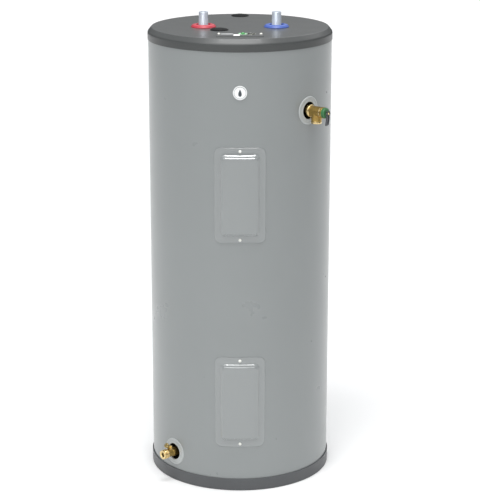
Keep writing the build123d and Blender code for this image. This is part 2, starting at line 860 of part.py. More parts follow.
os.makedirs("parts", exist_ok=True)
for name, shape in all_parts().items():
    export_step(shape, "parts/" + name + ".step")
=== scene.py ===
import bpy
import bmesh
import math
from mathutils import Matrix, Vector


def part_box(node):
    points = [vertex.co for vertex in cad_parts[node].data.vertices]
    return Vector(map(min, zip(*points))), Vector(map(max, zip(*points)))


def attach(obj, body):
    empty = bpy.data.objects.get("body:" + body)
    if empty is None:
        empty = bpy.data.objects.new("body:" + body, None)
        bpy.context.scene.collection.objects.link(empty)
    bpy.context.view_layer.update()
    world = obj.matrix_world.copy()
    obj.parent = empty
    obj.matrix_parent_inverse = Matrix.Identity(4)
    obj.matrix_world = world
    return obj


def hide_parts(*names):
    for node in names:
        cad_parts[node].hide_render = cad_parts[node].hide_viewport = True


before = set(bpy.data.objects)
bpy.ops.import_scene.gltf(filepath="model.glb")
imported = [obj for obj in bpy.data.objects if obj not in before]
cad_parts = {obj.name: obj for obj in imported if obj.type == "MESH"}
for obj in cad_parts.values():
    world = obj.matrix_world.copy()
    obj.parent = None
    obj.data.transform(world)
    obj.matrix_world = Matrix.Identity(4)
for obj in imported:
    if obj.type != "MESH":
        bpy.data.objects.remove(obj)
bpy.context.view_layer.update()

# Sizes in millimetres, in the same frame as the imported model: +Z up, -Y out of the service side.
MM = 0.001
JACKET = 257.0
SEAT = JACKET + 0.3
CASE_RIM = 259.98
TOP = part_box("top_cap")[1].z / MM
PAN_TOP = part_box("base_pan")[1].z / MM
SKIRT_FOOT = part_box("top_cap")[0].z / MM
RELIEF = (47.0, 1084.0)
DRAIN = (-47.5, 86.0)
COVERS = {"upper": 863.0, "lower": 266.0}
PIPES = {"hot": (-101.6, -20.0), "cold": (101.6, -20.0)}
HEATER = "heater"
ANODE_HOLE, FOAM_HOLE = (-57.0, -80.0), (0.0, 203.0)
PORT_HOLE = 25.5
JUNCTION = (0.0, -161.5)
CONDUIT = (30.0, -164.0)
COVER_SCREWS = (-124, 124)
NO_SLOT = 0.001
# How far each of these stands out from the axis.
OUTLET = 284.5
LEVER_PIN = 325.5
STEM_ROOT = 256.0
CONTROL_FACE = 226.0
SWITCH_FACE = 224.0
TERMINAL_FACE = 230.0


# ---------------------------------------------------------------- shapes


def around(bearing, level):
    """The outward frame at a bearing and level: x along the jacket, y up, z away from the axis."""
    turn = math.radians(bearing)
    across = Vector((math.cos(turn), math.sin(turn), 0))
    out = Vector((math.sin(turn), -math.cos(turn), 0))
    place = Matrix((across, (0, 0, 1), out)).transposed().to_4x4()
    place.translation = (0, 0, level)
    return place


def at(x, y, z):
    return Matrix.Translation((x, y, z))


def turn_about(axis, degrees):
    return Matrix.Rotation(math.radians(degrees), 4, axis)


def rounded(corners, steps=6, closed=True):
    """An outline whose corners, each (x, y, radius), become arcs."""
    outline = []
    for i, (x, y, radius) in enumerate(corners):
        end_point = not closed and i in (0, len(corners) - 1)
        if not radius or end_point:
            outline.append((x, y))
            continue
        here = Vector((x, y))
        back = (Vector(corners[i - 1][:2]) - here).normalized()
        ahead = (Vector(corners[(i + 1) % len(corners)][:2]) - here).normalized()
        half = back.angle(ahead) / 2
        middle = here + (back + ahead).normalized() * radius / math.sin(half)
        first = here + back * radius / math.tan(half) - middle
        last = here + ahead * radius / math.tan(half) - middle
        for k in range(steps + 1):
            outline.append(tuple(middle + first.slerp(last, k / steps).normalized() * radius))
    return outline


def skin(count, rows):
    """Faces between rows of points, each row a closed ring of the same count."""
    faces = []
    for row in range(rows):
        for k in range(count):
            low, high, nxt = row * count, (row + 1) * count, (k + 1) % count
            faces.append([low + k, low + nxt, high + nxt, high + k])
    return faces


def mesh_piece(name, points, faces, place=Matrix(), sharp=38):
    """A mesh object, its points set in the frame, with edges over the sharp angle kept crisp."""
    mesh = bpy.data.meshes.new(name)
    mesh.from_pydata([(place @ Vector(p)) * MM for p in points], [], faces)
    piece = bpy.data.objects.new(name, mesh)
    bpy.context.scene.collection.objects.link(piece)
    tidy_mesh(piece, sharp)
    return piece


def tidy_mesh(piece, sharp=38, recalculate=True):
    mesh = piece.data
    shape = bmesh.new()
    shape.from_mesh(mesh)
    bmesh.ops.remove_doubles(shape, verts=shape.verts, dist=1e-6)
    if recalculate:
        bmesh.ops.recalc_face_normals(shape, faces=shape.faces)
    shape.to_mesh(mesh)
    shape.free()
    mesh.shade_smooth()
    mesh.set_sharp_from_angle(angle=math.radians(sharp))


def lathe(name, profile, place=Matrix(), around_count=96, sharp=38):
    """A solid turned about z from a closed outline of (radius, level) points."""
    points, rings, faces = [], [], []
    for radius, level in profile:
        if radius < 1e-4:
            rings.append([len(points)] * around_count)
            points.append((0, 0, level))
            continue
        rings.append(list(range(len(points), len(points) + around_count)))
        for k in range(around_count):
            angle = 2 * math.pi * k / around_count
            points.append((radius * math.cos(angle), radius * math.sin(angle), level))
    for low, high in zip(rings, rings[1:] + rings[:1]):
        for k in range(around_count):
            nxt = (k + 1) % around_count
            corners = list(dict.fromkeys((low[k], low[nxt], high[nxt], high[k])))
            if len(corners) > 2:
                faces.append(corners)
    return mesh_piece(name, points, faces, place, sharp)


def prism(name, outline, low, high, place=Matrix(), edge=0.0, sharp=38):
    """An outline in x and y carried from one z to another, with its rims rounded over."""
    points, count = [], len(outline)
    levels = [(low, 0), (high, 0)]
    if edge:
        levels = [(low, edge), (low + edge, 0.0), (high - edge, 0.0), (high, edge)]
    middle = sum((Vector(p) for p in outline), Vector((0, 0))) / count
    reach = max((Vector(p) - middle).length for p in outline)
    for level, inset in levels:
        shrink = 1 - inset / reach
        points += [(*(middle + (Vector(p) - middle) * shrink), level) for p in outline]
    faces = skin(count, len(levels) - 1)
    faces.append(list(range(count)))
    faces.append([len(points) - 1 - k for k in range(count)])
    return mesh_piece(name, points, faces, place, sharp)


def box_outline(width, tall, radius, x=0.0, y=0.0, steps=6):
    half_w, half_t = width / 2, tall / 2
    corners = [(x + half_w, y + half_t, radius), (x - half_w, y + half_t, radius),
               (x - half_w, y - half_t, radius), (x + half_w, y - half_t, radius)]
    return rounded(corners, steps)


def circle_outline(radius, count=64, x=0.0, y=0.0):
    steps = (2 * math.pi * k / count for k in range(count))
    return [(x + radius * math.cos(a), y + radius * math.sin(a)) for a in steps]


def hex_outline(flats, radius=0.6):
    corner = flats / math.sqrt(3)
    corners = [(corner * math.cos(math.radians(60 * k)), corner * math.sin(math.radians(60 * k)), radius)
               for k in range(6)]
    return rounded(corners, 3)


def tube_profile(outer, inner, low, high, edge=0.5, steps=4):
    corners = [(outer, low), (outer, high), (inner, high), (inner, low)]
    return rounded([(*corner, edge) for corner in corners], steps)


def bar_profile(radius, low, high, edge=0.5, steps=4):
    return rounded([(0, low, 0), (radius, low, edge), (radius, high, edge), (0, high, 0)], steps)


def apply_modifiers(piece):
    """Keeps what the piece's modifiers make of it, as a plain mesh."""
    graph = bpy.context.evaluated_depsgraph_get()
    mesh = bpy.data.meshes.new_from_object(piece.evaluated_get(graph), depsgraph=graph)
    old = piece.data
    piece.modifiers.clear()
    piece.data = mesh
    mesh.name = piece.name
    if isinstance(old, bpy.types.Mesh):
        bpy.data.meshes.remove(old)
    return piece


def combine(piece, others, operation="DIFFERENCE", sharp=38):
    """Cuts the others out of a piece, or joins them to it, as solids."""
    for other in others:
        modifier = piece.modifiers.new("combine", "BOOLEAN")
        modifier.operation = operation
        modifier.solver = "EXACT"
        modifier.object = other
    apply_modifiers(piece)
    for other in others:
        bpy.data.objects.remove(other)
    tidy_mesh(piece, sharp, recalculate=False)
    return piece


def join(name, pieces):
    """One object from several, each keeping its own material."""
    whole = pieces[0]
    with bpy.context.temp_override(active_object=whole, object=whole, selected_editable_objects=pieces):
        bpy.ops.object.join()
    whole.name = name
    whole.data.name = name
    return whole


def screw_heads(name, spots, head, washer, slot, material, sides=6):
    """Screws at (place, direction) spots, with head and washer as (radius, rise)."""
    return grow(SCREWS, name, {
        "Sides": sides, "Head Radius": head[0], "Head Rise": head[1], "Washer Radius": washer[0],
        "Washer Rise": washer[1], "Slot": slot, "Material": material}, spots=spots)


def even_normals(piece):
    """Large faces keep their own direction next to rounded edges."""
    modifier = piece.modifiers.new("normals", "WEIGHTED_NORMAL")
    modifier.keep_sharp = True
    modifier.weight = 80
    return apply_modifiers(piece)


def cast_form(piece, voxel, rounds):
    """Melts joined solids into one skin with soft inner corners, as a casting has."""
    remesh = piece.modifiers.new("skin", "REMESH")
    remesh.mode = "VOXEL"
    remesh.voxel_size = voxel * MM
    remesh.use_smooth_shade = True
    smooth = piece.modifiers.new("fillet", "SMOOTH")
    smooth.factor = 0.5
    smooth.iterations = rounds
    apply_modifiers(piece)
    piece.data.shade_smooth()
    return piece


def paint(piece, *materials):
    piece.data.materials.clear()
    for material in materials:
        piece.data.materials.append(material)
    return piece


def place_piece(piece, body, slot, *nodes):
    """Settles a finished piece: the body it rides on, and the nodes it stands for, which it hides; its slot
    is not used.
    """
    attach(piece, body)
    if nodes:
        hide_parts(*nodes)
    return piece


# ---------------------------------------------------------------- geometry nodes


def new_tree(name, inputs):
    """A Geometry Nodes tree with named inputs, its input node and a way to add nodes."""
    tree = bpy.data.node_groups.new(name, "GeometryNodeTree")
    for label, kind in inputs:
        tree.interface.new_socket(label, in_out="INPUT", socket_type="NodeSocket" + kind)
    tree.interface.new_socket("Geometry", in_out="OUTPUT", socket_type="NodeSocketGeometry")
    return tree, tree.nodes.new("NodeGroupInput")


def add_node(tree, kind, values=None, **settings):
    """A node with its settings, and values or links for its inputs by name or number."""
    node = tree.nodes.new(kind)
    for key, value in settings.items():
        setattr(node, key, value)
    for key, value in (values or {}).items():
        if isinstance(value, bpy.types.NodeSocket):
            tree.links.new(value, node.inputs[key])
        else:
            node.inputs[key].default_value = value
    return node


def close_tree(tree, geometry, material):
    """Ends a tree in realized geometry with one material."""
    real = add_node(tree, "GeometryNodeRealizeInstances", {"Geometry": geometry})
    painted = add_node(tree, "GeometryNodeSetMaterial", {"Geometry": real.outputs[0], "Material": material})
    tree.links.new(painted.outputs[0], tree.nodes.new("NodeGroupOutput").inputs[0])
    return tree


def math_node(tree, operation, first, second):
    return add_node(tree, "ShaderNodeMath", {0: first, 1: second}, operation=operation).outputs[0]


def ridge_tree():
    """A round ridge wound about z: a thread's crest or a spring's wire."""
    tree, given = new_tree("wound_ridge", [("Radius", "Float"), ("Height", "Float"), ("Turns", "Float"),
                                            ("Ridge", "Float"), ("Sides", "Int"), ("Material", "Material")])
    out = given.outputs
    line = add_node(tree, "GeometryNodeCurveSpiral", {
        "Resolution": 48, "Rotations": out["Turns"], "Start Radius": out["Radius"],
        "End Radius": out["Radius"], "Height": out["Height"]})
    section = add_node(tree, "GeometryNodeCurvePrimitiveCircle", {
        "Resolution": out["Sides"], "Radius": out["Ridge"]})
    ridge = add_node(tree, "GeometryNodeCurveToMesh", {
        "Curve": line.outputs[0], "Profile Curve": section.outputs[0], "Fill Caps": True})
    smooth = add_node(tree, "GeometryNodeSetShadeSmooth", {"Geometry": ridge.outputs[0]})
    return close_tree(tree, smooth.outputs[0], out["Material"])


def screw_tree():
    """Slotted screw heads with washers, one at each point, standing along its outward direction."""
    tree, given = new_tree("screw_heads", [
        ("Places", "Geometry"), ("Sides", "Int"), ("Head Radius", "Float"), ("Head Rise", "Float"),
        ("Washer Radius", "Float"), ("Washer Rise", "Float"), ("Slot", "Float"), ("Material", "Material")])
    out = given.outputs

    def lifted(shape, rise):
        lift = add_node(tree, "ShaderNodeCombineXYZ", {"Z": rise})
        return add_node(tree, "GeometryNodeTransform", {
            "Geometry": shape.outputs[0], "Translation": lift.outputs[0]})

    def disc(sides, radius, depth, base):
        shape = add_node(tree, "GeometryNodeMeshCylinder", {
            "Vertices": sides, "Radius": radius, "Depth": depth})
        middle = add_node(tree, "ShaderNodeMath", {0: depth, 1: 0.5, 2: base}, operation="MULTIPLY_ADD")
        return lifted(shape, middle.outputs[0])

    washer = disc(32, out["Washer Radius"], out["Washer Rise"], 0.0)
    lower_rise = math_node(tree, "MULTIPLY", out["Head Rise"], 0.72)
    head = disc(out["Sides"], out["Head Radius"], lower_rise, out["Washer Rise"])
    crown_base = math_node(tree, "ADD", out["Washer Rise"], lower_rise)
    crown_top = math_node(tree, "MULTIPLY", out["Head Radius"], 0.8)
    crown = add_node(tree, "GeometryNodeMeshCone", {
        "Vertices": out["Sides"], "Radius Top": crown_top, "Radius Bottom": out["Head Radius"],
        "Depth": math_node(tree, "MULTIPLY", out["Head Rise"], 0.28)})
    crown = lifted(crown, crown_base)
    whole = add_node(tree, "GeometryNodeMeshBoolean", {
        "Mesh 2": head.outputs[0]}, operation="UNION", solver="EXACT")
    tree.links.new(crown.outputs[0], whole.inputs["Mesh 2"])
    slot_size = add_node(tree, "ShaderNodeCombineXYZ", {
        "X": math_node(tree, "MULTIPLY", out["Head Radius"], 3.0), "Y": out["Slot"], "Z": out["Head Rise"]})
    slot = add_node(tree, "GeometryNodeMeshCube", {"Size": slot_size.outputs[0]})
    slot_base = math_node(tree, "MULTIPLY", out["Head Rise"], 1.05)
    slot = lifted(slot, math_node(tree, "ADD", out["Washer Rise"], slot_base))
    cut = add_node(tree, "GeometryNodeMeshBoolean", {
        "Mesh 1": whole.outputs[0], "Mesh 2": slot.outputs[0]}, operation="DIFFERENCE", solver="EXACT")
    screw = add_node(tree, "GeometryNodeJoinGeometry", {"Geometry": cut.outputs[0]})
    tree.links.new(washer.outputs[0], screw.inputs[0])
    outward = add_node(tree, "GeometryNodeInputNamedAttribute", {"Name": "outward"}, data_type="FLOAT_VECTOR")
    stand = add_node(tree, "FunctionNodeAlignEulerToVector", {"Vector": outward.outputs[0]}, axis="Z")
    set_out = add_node(tree, "GeometryNodeInstanceOnPoints", {
        "Points": out["Places"], "Instance": screw.outputs[0], "Rotation": stand.outputs[0]})
    return close_tree(tree, set_out.outputs[0], out["Material"])


def rib_tree():
    """Blocks set evenly round z, for grips, tick marks and flutes."""
    tree, given = new_tree("ring_of_ribs", [("Count", "Int"), ("Radius", "Float"), ("Width", "Float"),
                                             ("Depth", "Float"), ("Rise", "Float"), ("Material", "Material")])
    out = given.outputs
    ring = add_node(tree, "GeometryNodeMeshCircle", {"Vertices": out["Count"], "Radius": out["Radius"]})
    size = add_node(tree, "ShaderNodeCombineXYZ", {"X": out["Depth"], "Y": out["Width"], "Z": out["Rise"]})
    rib = add_node(tree, "GeometryNodeMeshCube", {"Size": size.outputs[0]})
    spot = add_node(tree, "GeometryNodeInputPosition")
    face_out = add_node(tree, "FunctionNodeAlignEulerToVector", {"Vector": spot.outputs[0]}, axis="X")
    ribs = add_node(tree, "GeometryNodeInstanceOnPoints", {
        "Points": ring.outputs[0], "Instance": rib.outputs[0], "Rotation": face_out.outputs[0]})
    return close_tree(tree, ribs.outputs[0], out["Material"])


def grow(tree, name, inputs, place=Matrix(), spots=(), sharp=38):
    """Runs a tree, sizes in millimetres, and keeps its result as a plain mesh in its place."""
    mesh = bpy.data.meshes.new(name)
    mesh.from_pydata([Vector(point) * MM for point, _ in spots], [], [])
    if spots:
        outward = mesh.attributes.new("outward", "FLOAT_VECTOR", "POINT")
        for value, (_, direction) in zip(outward.data, spots):
            value.vector = direction
    piece = bpy.data.objects.new(name, mesh)
    bpy.context.scene.collection.objects.link(piece)
    modifier = piece.modifiers.new("grow", "NODES")
    modifier.node_group = tree
    for item in tree.interface.items_tree:
        if item.in_out == "INPUT" and item.name in inputs:
            value = inputs[item.name]
            length = item.socket_type == "NodeSocketFloat" and item.name != "Turns"
            modifier[item.identifier] = value * MM if length else value
    apply_modifiers(piece)
    scaled = place.copy()
    scaled.translation = place.translation * MM
    piece.data.transform(scaled)
    piece.data.set_sharp_from_angle(angle=math.radians(sharp))
    return piece


# ---------------------------------------------------------------- finishes


def tint(red, green, blue):
    """A colour given as 0 to 255 display values, as the linear colour that shaders use."""
    parts = [c / 255 for c in (red, green, blue)]
    return (*(c / 12.92 if c < 0.04045 else ((c + 0.055) / 1.055) ** 2.4 for c in parts), 1.0)


def finish(name, colour, rough, metallic=0.0, tone=0.04, tone_scale=12.0, spread=0.05, grain=0.0,
           grain_scale=900.0, wave=0.0, wave_scale=6.0, stretch=(1, 1, 1), coat=0.0, specular=0.5,
           second=None, anisotropic=0.0):
    """A shader whose colour, roughness and relief vary with noise fixed to the piece."""
    material = bpy.data.materials.new(name)
    material.use_nodes = True
    tree = material.node_tree
    shader = tree.nodes["Principled BSDF"]
    shader.inputs["Metallic"].default_value = metallic
    shader.inputs["Coat Weight"].default_value = coat
    shader.inputs["Coat Roughness"].default_value = 0.08
    shader.inputs["Specular IOR Level"].default_value = specular
    shader.inputs["Anisotropic"].default_value = anisotropic
    spot = add_node(tree, "ShaderNodeTexCoord")
    lie = add_node(tree, "ShaderNodeMapping", {"Vector": spot.outputs["Object"], "Scale": stretch})

    def noise(scale, detail):
        return add_node(tree, "ShaderNodeTexNoise", {
            "Vector": lie.outputs[0], "Scale": scale, "Detail": detail, "Roughness": 0.55}).outputs[0]

    def spread_over(source, low, high):
        ranged = add_node(tree, "ShaderNodeMapRange", {
            "Value": source, "From Min": 0.3, "From Max": 0.7, "To Min": low, "To Max": high})
        return ranged.outputs[0]

    darker = tuple(c * (1 - tone) for c in colour[:3]) + (1.0,)
    lighter = second or tuple(min(1.0, c * (1 + tone)) for c in colour[:3]) + (1.0,)
    mix = add_node(tree, "ShaderNodeMix", {
        "Factor": spread_over(noise(tone_scale, 4), 0, 1)}, data_type="RGBA")
    mix.inputs[6].default_value = darker
    mix.inputs[7].default_value = lighter
    tree.links.new(mix.outputs[2], shader.inputs["Base Color"])
    varied = spread_over(noise(tone_scale * 3.1, 5), max(0.02, rough - spread), min(1.0, rough + spread))
    tree.links.new(varied, shader.inputs["Roughness"])
    relief = None
    for depth, scale, detail in ((wave, wave_scale, 1), (grain, grain_scale, 3)):
        if depth:
            relief = add_node(tree, "ShaderNodeBump", {
                "Height": noise(scale, detail), "Strength": 1.0, "Distance": depth * MM,
                **({"Normal": relief} if relief else {})}).outputs[0]
    if relief:
        tree.links.new(relief, shader.inputs["Normal"])
    return material


JACKET_ENAMEL = finish("jacket_enamel", tint(134, 138, 138), 0.3, tone=0.02, tone_scale=3, spread=0.03,
                       grain=0.006, grain_scale=420, wave=0.25, wave_scale=5, coat=0.25)
COVER_ENAMEL = finish("cover_enamel", tint(134, 138, 138), 0.17, tone=0.008, tone_scale=5, spread=0.012,
                      grain=0.004, grain_scale=420, coat=1.0)
CAP_ENAMEL = finish("cap_enamel", tint(68, 70, 70), 0.36, tone=0.015, tone_scale=5, spread=0.015,
                    grain=0.008, grain_scale=420, coat=0.15)
PAN_ENAMEL = finish("pan_enamel", tint(75, 77, 79), 0.5, tone=0.06, tone_scale=9, spread=0.06,
                    grain=0.03, grain_scale=500, coat=0.2)
BRIGHT_STEEL = finish("bright_steel", tint(218, 226, 236), 0.3, 0.45, tone=0.03, tone_scale=60, spread=0.05,
                      grain=0.006, grain_scale=1500, stretch=(1, 1, 0.08))
THREAD_STEEL = finish("thread_steel", tint(212, 220, 230), 0.34, 0.45, tone=0.04, tone_scale=90, spread=0.05)
ZINC = finish("zinc_plate", tint(196, 198, 192), 0.28, 1.0, tone=0.1, tone_scale=70, spread=0.08,
              second=tint(205, 206, 190), grain=0.01, grain_scale=900)
SCREW_ZINC = finish("bright_zinc", tint(238, 238, 232), 0.36, 0.5, tone=0.04, tone_scale=90, spread=0.05,
                    grain=0.008, grain_scale=1200)
SPINDLE_ZINC = finish("yellow_zinc", tint(196, 174, 118), 0.3, 1.0, tone=0.1, tone_scale=80, spread=0.06)
BOX_STEEL = finish("box_steel", tint(58, 60, 60), 0.55, 0.4, tone=0.1, tone_scale=40, spread=0.08)
TURNED_BRASS = finish("turned_brass", tint(224, 200, 146), 0.2, 1.0, tone=0.08, tone_scale=60, spread=0.06,
                      grain=0.008, grain_scale=1600)
CAST_BRASS = finish("cast_brass", tint(178, 148, 84), 0.34, 1.0, tone=0.16, tone_scale=90, spread=0.08,
                    grain=0.05, grain_scale=1400)
RED_PLASTIC = finish("red_marker", tint(172, 48, 62), 0.42, tone=0.06, tone_scale=40, grain=0.02,
                     grain_scale=1100)
BLUE_PLASTIC = finish("blue_marker", tint(62, 88, 162), 0.42, tone=0.06, tone_scale=40, grain=0.02,
                      grain_scale=1100)
BLACK_PLASTIC = finish("black_moulding", tint(18, 19, 20), 0.6, tone=0.12, tone_scale=60, grain=0.03,
                       grain_scale=1500, specular=0.12)
GREY_PLASTIC = finish("grey_moulding", tint(168, 172, 172), 0.42, tone=0.03, tone_scale=40, grain=0.02,
                      grain_scale=1500)
LINER_PLASTIC = finish("pale_liner", tint(128, 134, 140), 0.45, tone=0.04, tone_scale=50, grain=0.02)
GREEN_PLASTIC = finish("green_cap", tint(48, 104, 60), 0.36, tone=0.16, tone_scale=60, grain=0.02, coat=0.3)
DARK_STEEL = finish("dark_lever", tint(92, 93, 96), 0.36, 0.6, tone=0.12, tone_scale=80, grain=0.012)
GREEN_STEEL = finish("green_screw", tint(72, 150, 84), 0.32, 0.3, tone=0.1, tone_scale=90)
WHITE_FACE = finish("badge_white", tint(238, 240, 240), 0.25, tone=0.015, tone_scale=60, coat=0.6)
BADGE_INK = finish("badge_dark", tint(52, 60, 66), 0.3, tone=0.08, tone_scale=80, coat=0.5)
LABEL_WHITE = finish("blank_label", tint(244, 244, 240), 0.5, tone=0.02, tone_scale=60, grain=0.01)
LABEL_GREY = finish("worn_label", tint(150, 152, 152), 0.5, tone=0.05, tone_scale=60, grain=0.01)
LABEL_GREEN = finish("green_label", tint(150, 190, 156), 0.5, tone=0.05, tone_scale=60, grain=0.01)
FOAM = finish("rigid_foam", tint(226, 206, 150), 0.9, tone=0.12, tone_scale=45, second=tint(238, 222, 176),
              grain=0.5, grain_scale=260, specular=0.2)
FIBRE = finish("glass_fibre", tint(232, 214, 142), 0.95, tone=0.14, tone_scale=70, grain=0.7, grain_scale=420,
               stretch=(1, 1, 3), specular=0.15)
PAD_FOAM = finish("bead_foam", tint(238, 240, 240), 0.85, tone=0.03, tone_scale=180, grain=0.35,
                  grain_scale=330, specular=0.2)
TANK_STEEL = finish("tank_steel", tint(70, 74, 84), 0.5, 0.2, tone=0.12, tone_scale=20, spread=0.1,
                    grain=0.05, grain_scale=400)
COPPER = finish("copper", tint(196, 122, 90), 0.28, 1.0, tone=0.14, tone_scale=40, spread=0.08)
MAGNESIUM = finish("magnesium", tint(168, 168, 166), 0.5, 0.9, tone=0.1, tone_scale=60, grain=0.05)
RUBBER = finish("rubber", tint(26, 26, 26), 0.7, tone=0.1, tone_scale=60, grain=0.03)
GUARD = finish("guard_plastic", tint(214, 212, 200), 0.4, tone=0.04, tone_scale=40, grain=0.02)
DIAL_PLASTIC = finish("dial_plastic", tint(226, 222, 206), 0.38, tone=0.04, tone_scale=90, grain=0.02)
RESET_RED = finish("reset_red", tint(196, 30, 26), 0.25, tone=0.08, tone_scale=90, coat=0.4)
WIRE_BLACK = finish("black_wire", tint(28, 28, 30), 0.4, tone=0.1, tone_scale=50, grain=0.02)
WIRE_RED = finish("red_wire", tint(172, 34, 30), 0.4, tone=0.08, tone_scale=50, grain=0.02)

RIDGES = ridge_tree()
SCREWS = screw_tree()
RIBS = rib_tree()


# ---------------------------------------------------------------- panels wrapped on the jacket


def on_jacket(x, _, rise):
    """How far out a point lies that stands by the rise off the jacket's curve."""
    return math.sqrt((JACKET + rise) ** 2 - x * x)


def wrapped(name, rings, place, sharp=30, solid=None, lie=on_jacket):
    """Rings of points joined in order, each point set out from the axis by the lie rule."""
    count = len(rings[0])
    last = (len(rings) - 1) * count
    points = [(x, y, lie(x, y, third)) for ring in rings for x, y, third in ring]
    faces = skin(count, len(rings) - 1)
    if solid in ("cap", "both"):
        faces.append([last + k for k in range(count)])
    if solid == "both":
        faces.append(list(reversed(range(count))))
    if solid == "loop":
        faces += [[last + k, last + (k + 1) % count, (k + 1) % count, k] for k in range(count)]
    return mesh_piece(name, points, faces, place, sharp)


def panel_ring(half, top, foot, corner, rise, across=26, down=10, bend=8):
    """One ring of a panel: straight edges cut into short runs, and rounded corners."""
    ring = []
    centres = [(half - corner, top - corner, 0), (-half + corner, top - corner, 90),
               (-half + corner, -foot + corner, 180), (half - corner, -foot + corner, 270)]
    for i, (x, y, start) in enumerate(centres):
        for k in range(bend + 1):
            angle = math.radians(start + 90 * k / bend)
            ring.append((x + corner * math.cos(angle), y + corner * math.sin(angle), rise))
        nxt_x, nxt_y, nxt_start = centres[(i + 1) % 4]
        runs = across if i % 2 == 0 else down
        first = Vector(ring[-1][:2])
        angle = math.radians(nxt_start)
        last = Vector((nxt_x + corner * math.cos(angle), nxt_y + corner * math.sin(angle)))
        for k in range(1, runs):
            ring.append((*first.lerp(last, k / runs), rise))
    return ring


def disc_ring(radius, rise, count=96):
    return [(radius * math.cos(2 * math.pi * k / count), radius * math.sin(2 * math.pi * k / count), rise)
            for k in range(count)]


# ---------------------------------------------------------------- case


def make_base_pan():
    profile = rounded([
        (0, 0, 0), (CASE_RIM, 0, 2.5), (CASE_RIM, PAN_TOP, 0.9), (258.2, PAN_TOP, 0.8), (258.2, 1.8, 1.5),
        (0, 1.8, 0),
    ], 8)
    pan = paint(even_normals(lathe("base_pan_pressing", profile, around_count=256)), PAN_ENAMEL)
    place_piece(pan, HEATER, "cap_enamel", "base_pan")


def jacket_cutters():
    cutters = []
    for level in COVERS.values():
        outline = box_outline(118, 236, 10)
        cutters.append(prism("opening", outline, 220, 290, around(0, level)))
    for bearing, level in (RELIEF, DRAIN):
        cutters.append(prism("port", circle_outline(PORT_HOLE, 96), 220, 290, around(bearing, level)))
    return cutters


def make_jacket():
    rows = [4 + 1268 * k / 20 for k in range(21)]
    profile = [(JACKET, level) for level in rows] + [(JACKET - 1, level) for level in reversed(rows)]
    jacket = lathe("jacket_wrapper", profile, around_count=288)
    combine(jacket, jacket_cutters())
    lap = [panel_ring(7 - inset, 610 - inset, 610 - inset, 0.8, rise, 6, 4, 2)
           for inset, rise in ((0, -0.2), (0, 0.5), (0.4, 0.9))]
    lap += [panel_ring(half, 609, 609, 0.3, 0.9, 6, 4, 2) for half in (4.0, 1.0)]
    seam = wrapped("seam_lap", lap + [panel_ring(0.5, 608, 608, 0.2, -0.2, 6, 4, 2)], around(180, 646))
    jacket = join("jacket_wrapper", [jacket, seam])
    paint(even_normals(jacket), JACKET_ENAMEL)
    place_piece(jacket, HEATER, "jacket_enamel", "outer_jacket")


def make_seam_rivets():
    back = around(180, 0)
    spots = [(back @ Vector((0, z, JACKET + 0.9)), (0, 1, 0)) for z in range(80, 1240, 128)]
    rivets = screw_heads("seam_rivets", spots, (2.6, 0.9), (2.9, 0.2), NO_SLOT, ZINC, sides=24)
    place_piece(rivets, HEATER, "jacket_enamel")


def make_top_cap():
    profile = rounded([
        (0, TOP, 0), (247.9, TOP, 2.2), (258.5, 1277, 9.0), (258.5, SKIRT_FOOT, 0.6),
        (257.3, SKIRT_FOOT, 0.5), (257.3, 1276.2, 7.0), (246.8, TOP - 1.5, 1), (0, TOP - 1.5, 0),
    ], 8)
    cap = lathe("top_cap_pressing", profile, around_count=256)
    holes = [(spot, circle_outline(20, 96)) for spot in PIPES.values()]
    holes += [(spot, circle_outline(21, 64)) for spot in (ANODE_HOLE, FOAM_HOLE)]
    holes.append((JUNCTION, box_outline(100, 74, 4)))
    combine(cap, [prism("hole", outline, TOP - 8, TOP + 8, at(*spot, 0)) for spot, outline in holes])
    paint(even_normals(cap), CAP_ENAMEL)
    place_piece(cap, HEATER, "cap_enamel", "top_cap")


def make_marker_rings():
    profile = rounded([
        (20, TOP, 0), (35, TOP, 0.2), (35, TOP + 1.6, 0.8), (31, TOP + 6.4, 2.5), (25.5, TOP + 8, 2),
        (21.5, TOP + 8, 1.0), (20, TOP + 6.6, 0.6),
    ], 6)
    for side, material in (("hot", RED_PLASTIC), ("cold", BLUE_PLASTIC)):
        ring = lathe(side + "_marker", profile, at(*PIPES[side], 0), 128)
        paint(even_normals(ring), material)
        place_piece(ring, HEATER, "red_plastic" if side == "hot" else "blue_plastic", side + "_marker_ring")


def make_pipe_nipples():
    """Steel pipes with a taper thread cut in the last stretch."""
    top, thread_foot, pitch = 1332.98, 1314.0, 1.814
    profile = rounded([
        (13.3, 1226, 0.3), (13.3, thread_foot, 0), (12.9, thread_foot + 1, 0), (12.8, top - 1.2, 0),
        (12.2, top, 0.3), (10.45, top, 0.4), (10.45, 1226, 0.3),
    ], 4)
    for side, (x, y) in PIPES.items():
        pipe = paint(lathe(side + "_pipe_body", profile, at(x, y, 0), 128), BRIGHT_STEEL)
        turns = (top - 1.4 - thread_foot) / pitch
        thread = grow(RIDGES, side + "_pipe_thread", {
            "Radius": 12.72, "Height": turns * pitch, "Turns": turns, "Ridge": 0.46, "Sides": 10,
            "Material": THREAD_STEEL}, at(x, y, thread_foot + 0.4))
        pipe = join(side + "_pipe_nipple", [pipe, thread])
        node = "hot_outlet_nipple" if side == "hot" else "cold_inlet_nipple"
        place_piece(pipe, HEATER, "bright_steel", node)


def make_pipe_liners():
    for side, (x, y) in PIPES.items():
        foot = 1190 if side == "hot" else 182
        profile = rounded([(10.15, foot, 0.2), (10.15, 1332, 0.3), (8.8, 1331.4, 0.5), (8.7, foot, 0.2)], 3)
        liner = paint(lathe(side + "_pipe_liner", profile, at(x, y, 0), 48), LINER_PLASTIC)
        place_piece(liner, HEATER, "liner_plastic", "hot_nipple_liner" if side == "hot" else "dip_tube")


